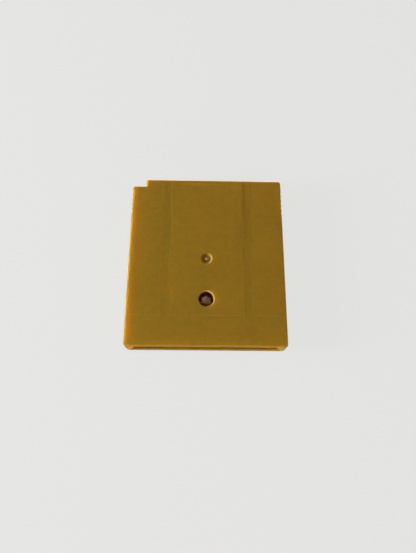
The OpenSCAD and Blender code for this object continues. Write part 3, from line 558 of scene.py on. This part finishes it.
def lobed_screw(finish):
    """The security screw as one turned and rolled form, from the middle of its top down to its tip.

    Each ring has a height and a radius. Over the head the radius is the least of the head's circle and
    the near side of six round hollows, c cos(p) - sqrt(r^2 - c^2 sin^2(p)) at the angle p from a hollow's
    middle, averaged over a few degrees so that the lobes have rounded corners. The flange is round with a
    rounded rim. Down the shank the radius rises and falls with the phase z / pitch + turn, which winds a
    thread, and it shrinks to nothing at the tip.
    """
    steps = 180
    turn = np.linspace(0, 2 * np.pi, steps, endpoint=False)
    top, low = float(screw_high[2]), float(screw_low[2])
    head_r, flange_r, hollow_r = FLANGE_R - 0.3, FLANGE_R, 0.55
    hollow_c = head_r + hollow_r / 3
    phase = (turn + np.pi / 6) % (np.pi / 3) - np.pi / 6
    side = hollow_c * np.sin(phase)
    inside = np.maximum(hollow_r**2 - side**2, 0)
    near = np.where(np.abs(side) < hollow_r, hollow_c * np.cos(phase) - np.sqrt(inside), head_r)
    lobes = np.minimum(head_r, near)
    lobes = sum(np.roll(lobes, k) for k in range(-3, 4)) / 7

    rings = []
    for share, drop in ((0.0, 0.10), (0.18, 0.10), (0.34, 0.09), (0.40, 0.04), (0.46, 0.0), (0.8, 0.0)):
        rings.append((lobes * share, top - drop))
    edge = np.linspace(0, np.pi / 2, 7)
    for bend in edge:
        rings.append((lobes - 0.14 * (1 - np.sin(bend)), top - 0.14 * (1 - np.cos(bend))))
    flange_top, flange_low = top - 1.2, top - 1.6
    for height in np.linspace(top - 0.3, flange_top + 0.12, 4):
        rings.append((lobes, height))
    for bend in edge:
        rings.append((lobes + 0.12 * (1 - np.cos(bend)), flange_top + 0.12 * (1 - np.sin(bend))))
    half = (flange_top - flange_low) / 2
    for bend in np.linspace(-np.pi / 2, np.pi / 2, 13):
        reach = flange_r - 0.12 * (1 - np.cos(bend))
        rings.append((np.full(steps, reach), (flange_top + flange_low) / 2 - half * np.sin(bend)))
    shank_r, pitch, depth = 1.0, 0.8, 0.22
    neck = flange_low - 0.12
    rings.append((np.full(steps, shank_r - depth), flange_low))
    for height in np.linspace(neck, low + 0.5, 70):
        cut = np.abs((height / pitch + turn / (2 * np.pi)) % 1 - 0.5) * 2
        fade = min(1.0, (neck - height) / 0.3)
        rings.append((shank_r - depth + depth * fade * np.clip(1.6 * cut - 0.5, 0, 1), height))
    for share in (0.9, 0.7, 0.45, 0.2, 0.0):
        rings.append((np.full(steps, (shank_r - depth) * share), low + 0.5 * share))
    radius = np.stack([np.broadcast_to(r, (steps,)) for r, _ in rings])
    height = np.array([z for _, z in rings])[:, None] + np.zeros(steps)
    points = np.stack([radius * np.cos(turn), radius * np.sin(turn) + SCREW_Y, height], -1)
    screw = sheet_mesh("security_screw", points[:, ::-1], finish)
    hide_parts("case_screw")
    return screw


# Stage


def lamp(name, toward, distance, size, level, colour=(1, 1, 1), glossy=True):
    """A square area lamp that faces the cartridge. level is what a white surface facing it shows.

    A lamp that isn't glossy gives its light without a mirror image of itself.
    """
    data = bpy.data.lights.new(name, "AREA")
    data.shape = "SQUARE"
    data.size = size
    data.energy = level * (math.pi * distance) ** 2
    data.color = colour
    lit = bpy.data.objects.new(name, data)
    bpy.context.scene.collection.objects.link(lit)
    direction = Vector(toward).normalized()
    lit.location = direction * distance
    lit.rotation_mode = "QUATERNION"
    lit.rotation_quaternion = direction.to_track_quat("Z", "Y")
    lit.visible_glossy = glossy
    return lit


def background_rays(start):
    """1 for camera, glossy and transmission rays, which see the background's colour."""
    rays = {
        name: start.node("ShaderNodeLightPath", output=name)
        for name in ("Is Camera Ray", "Is Glossy Ray", "Is Transmission Ray")
    }
    seen = rays["Is Camera Ray"].most(rays["Is Glossy Ray"])
    return seen.most(rays["Is Transmission Ray"])


def floor():
    """A wide pale disc under the cartridge that shows a little of its shadow near it.

    It hides neither lamps nor room from the underside, so that the label side is lit as well.
    """
    count, radius = 96, 4.0
    turn = np.linspace(0, 2 * np.pi, count, endpoint=False)
    points = np.stack([np.cos(turn), np.sin(turn), np.zeros(count)], 1) * radius
    mesh = bpy.data.meshes.new("floor")
    mesh.from_pydata(points.tolist(), [], [list(range(count))])
    made = bpy.data.objects.new("floor", mesh)
    bpy.context.scene.collection.objects.link(made)
    material = bpy.data.materials.new("floor_paint")
    material.use_nodes = True
    tree = material.node_tree
    tree.nodes.remove(tree.nodes["Principled BSDF"])
    start = Wire(tree, None)
    catch = 0.05
    place = start.node("ShaderNodeTexCoord", output="Object")
    spread = start.node("ShaderNodeVectorMath", {"operation": "LENGTH"}, {0: place}, "Value")
    near = 1 - spread.step(0.12, 0.42)
    lit = near.blend((0, 0, 0, 1), (catch, catch, catch, 1))
    dimmed = near.blend(BACKGROUND, tuple(c - catch for c in BACKGROUND[:3]) + (1,))
    matt = start.node("ShaderNodeBsdfDiffuse", inputs={"Color": lit})
    glow = start.node("ShaderNodeEmission", inputs={"Color": dimmed, "Strength": 1.0})
    shown = start.node("ShaderNodeAddShader", inputs={0: matt, 1: glow})
    pale = start.node("ShaderNodeBsdfDiffuse", inputs={"Color": (0.78, 0.78, 0.76, 1)})
    above = start.node("ShaderNodeMixShader", inputs={0: background_rays(start), 1: pale, 2: shown})
    below = start.node("ShaderNodeBsdfTransparent")
    side = start.node("ShaderNodeNewGeometry", output="Backfacing")
    both = start.node("ShaderNodeMixShader", inputs={0: side, 1: above, 2: below})
    tree.links.new(both.socket, tree.nodes["Material Output"].inputs["Surface"])
    mesh.materials.append(material)
    made.visible_diffuse = False
    made.visible_shadow = False
    return made


def surroundings(level):
    """The room: even dim light on the object, and the background's colour for the rays that show it."""
    world = bpy.data.worlds.new("room")
    bpy.context.scene.world = world
    world.use_nodes = True
    tree = world.node_tree
    tree.nodes.clear()
    start = Wire(tree, None)
    direction = start.node("ShaderNodeTexCoord", output="Generated")
    height = start.node("ShaderNodeSeparateXYZ", inputs={0: direction}, output=2)
    dim = 1 - height.step(0.3, 0.9) * 0.55
    camera = start.node("ShaderNodeLightPath", output="Is Camera Ray")
    seen = background_rays(start)
    shown = camera.most(dim)
    strength = seen * shown + (1 - seen) * dim * level
    light = start.node("ShaderNodeBackground", inputs={"Color": BACKGROUND, "Strength": strength})
    out = tree.nodes.new("ShaderNodeOutputWorld")
    tree.links.new(light.socket, out.inputs["Surface"])


def camera():
    """The photograph's view: a turn about Z, a height over the floor, a roll, and a place off the origin."""
    turn, height, roll = (math.radians(a) for a in (-2.578, 71.086, 3.095))
    focal_px, frame_px, sensor_mm = 460.0, 553, 36
    back = Vector(
        (math.sin(turn) * math.cos(height), -math.cos(turn) * math.cos(height), math.sin(height))
    )
    right0 = Vector((math.cos(turn), math.sin(turn), 0))
    up0 = back.cross(right0)
    right = math.cos(roll) * right0 + math.sin(roll) * up0
    up = -math.sin(roll) * right0 + math.cos(roll) * up0
    place = (back * 175.5 + right * 0.686 - up * 4.087) * MM
    data = bpy.data.cameras.new("camera")
    data.sensor_width = sensor_mm
    data.lens = focal_px / frame_px * sensor_mm
    data.clip_start, data.clip_end = 0.01, 20
    made = bpy.data.objects.new("camera", data)
    bpy.context.scene.collection.objects.link(made)
    axes = Matrix((right, up, back)).transposed().to_4x4()
    made.matrix_world = Matrix.Translation(place) @ axes
    bpy.context.scene.camera = made


camera()
floor()
surroundings(0.45)
lamp("key", (-0.97, -0.11, 0.24), 0.6, 0.2, 2.25, glossy=False)
lamp("rim", (-0.99, -0.06, 0.01), 0.6, 0.3, 1.25, glossy=False)
lamp("spark", (-0.98, -0.12, 0.15), 0.6, 0.04, 0.10)
lamp("right", (0.97, 0.1, 0.14), 0.6, 0.4, 0.4, glossy=False)
lamp("fill", (0.15, -0.97, 0.07), 0.7, 0.4, 1.2, (1.0, 0.94, 0.82), glossy=False)
lamp("under", (0.3, 0.8, -0.5), 0.6, 0.2, 1.4)

gold, steel = gold_plastic(), screw_steel()
epoxy, tin, can = chip_epoxy(), tinned_metal(), drawn_can()
FINISHES = {
    "back_shell": gold,
    "front_shell": gold,
    "case_screw": steel,
    "circuit_board": board_laminate(),
    "contact_fingers": contact_gold(),
    "rom_body": epoxy,
    "rom_leads": tin,
    "mapper_body": epoxy,
    "mapper_leads": tin,
    "ram_body": epoxy,
    "ram_leads": tin,
    "supervisor_body": epoxy,
    "supervisor_leads": tin,
    "coin_cell": turned_steel(),
    "cell_plus_tab": tin,
    "cell_minus_tab": tin,
    "crystal_can": can,
    "crystal_leads": tin,
    "capacitor_bodies": capacitor_ceramic(),
    "capacitor_ends": tin,
    "resistor_bodies": resistor_ceramic(),
    "resistor_ends": tin,
}
for name, finish in FINISHES.items():
    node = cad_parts[name]
    node.data.materials.clear()
    node.data.materials.append(finish)

lobed_screw(steel)

bpy.context.scene.view_settings.view_transform = "Standard"
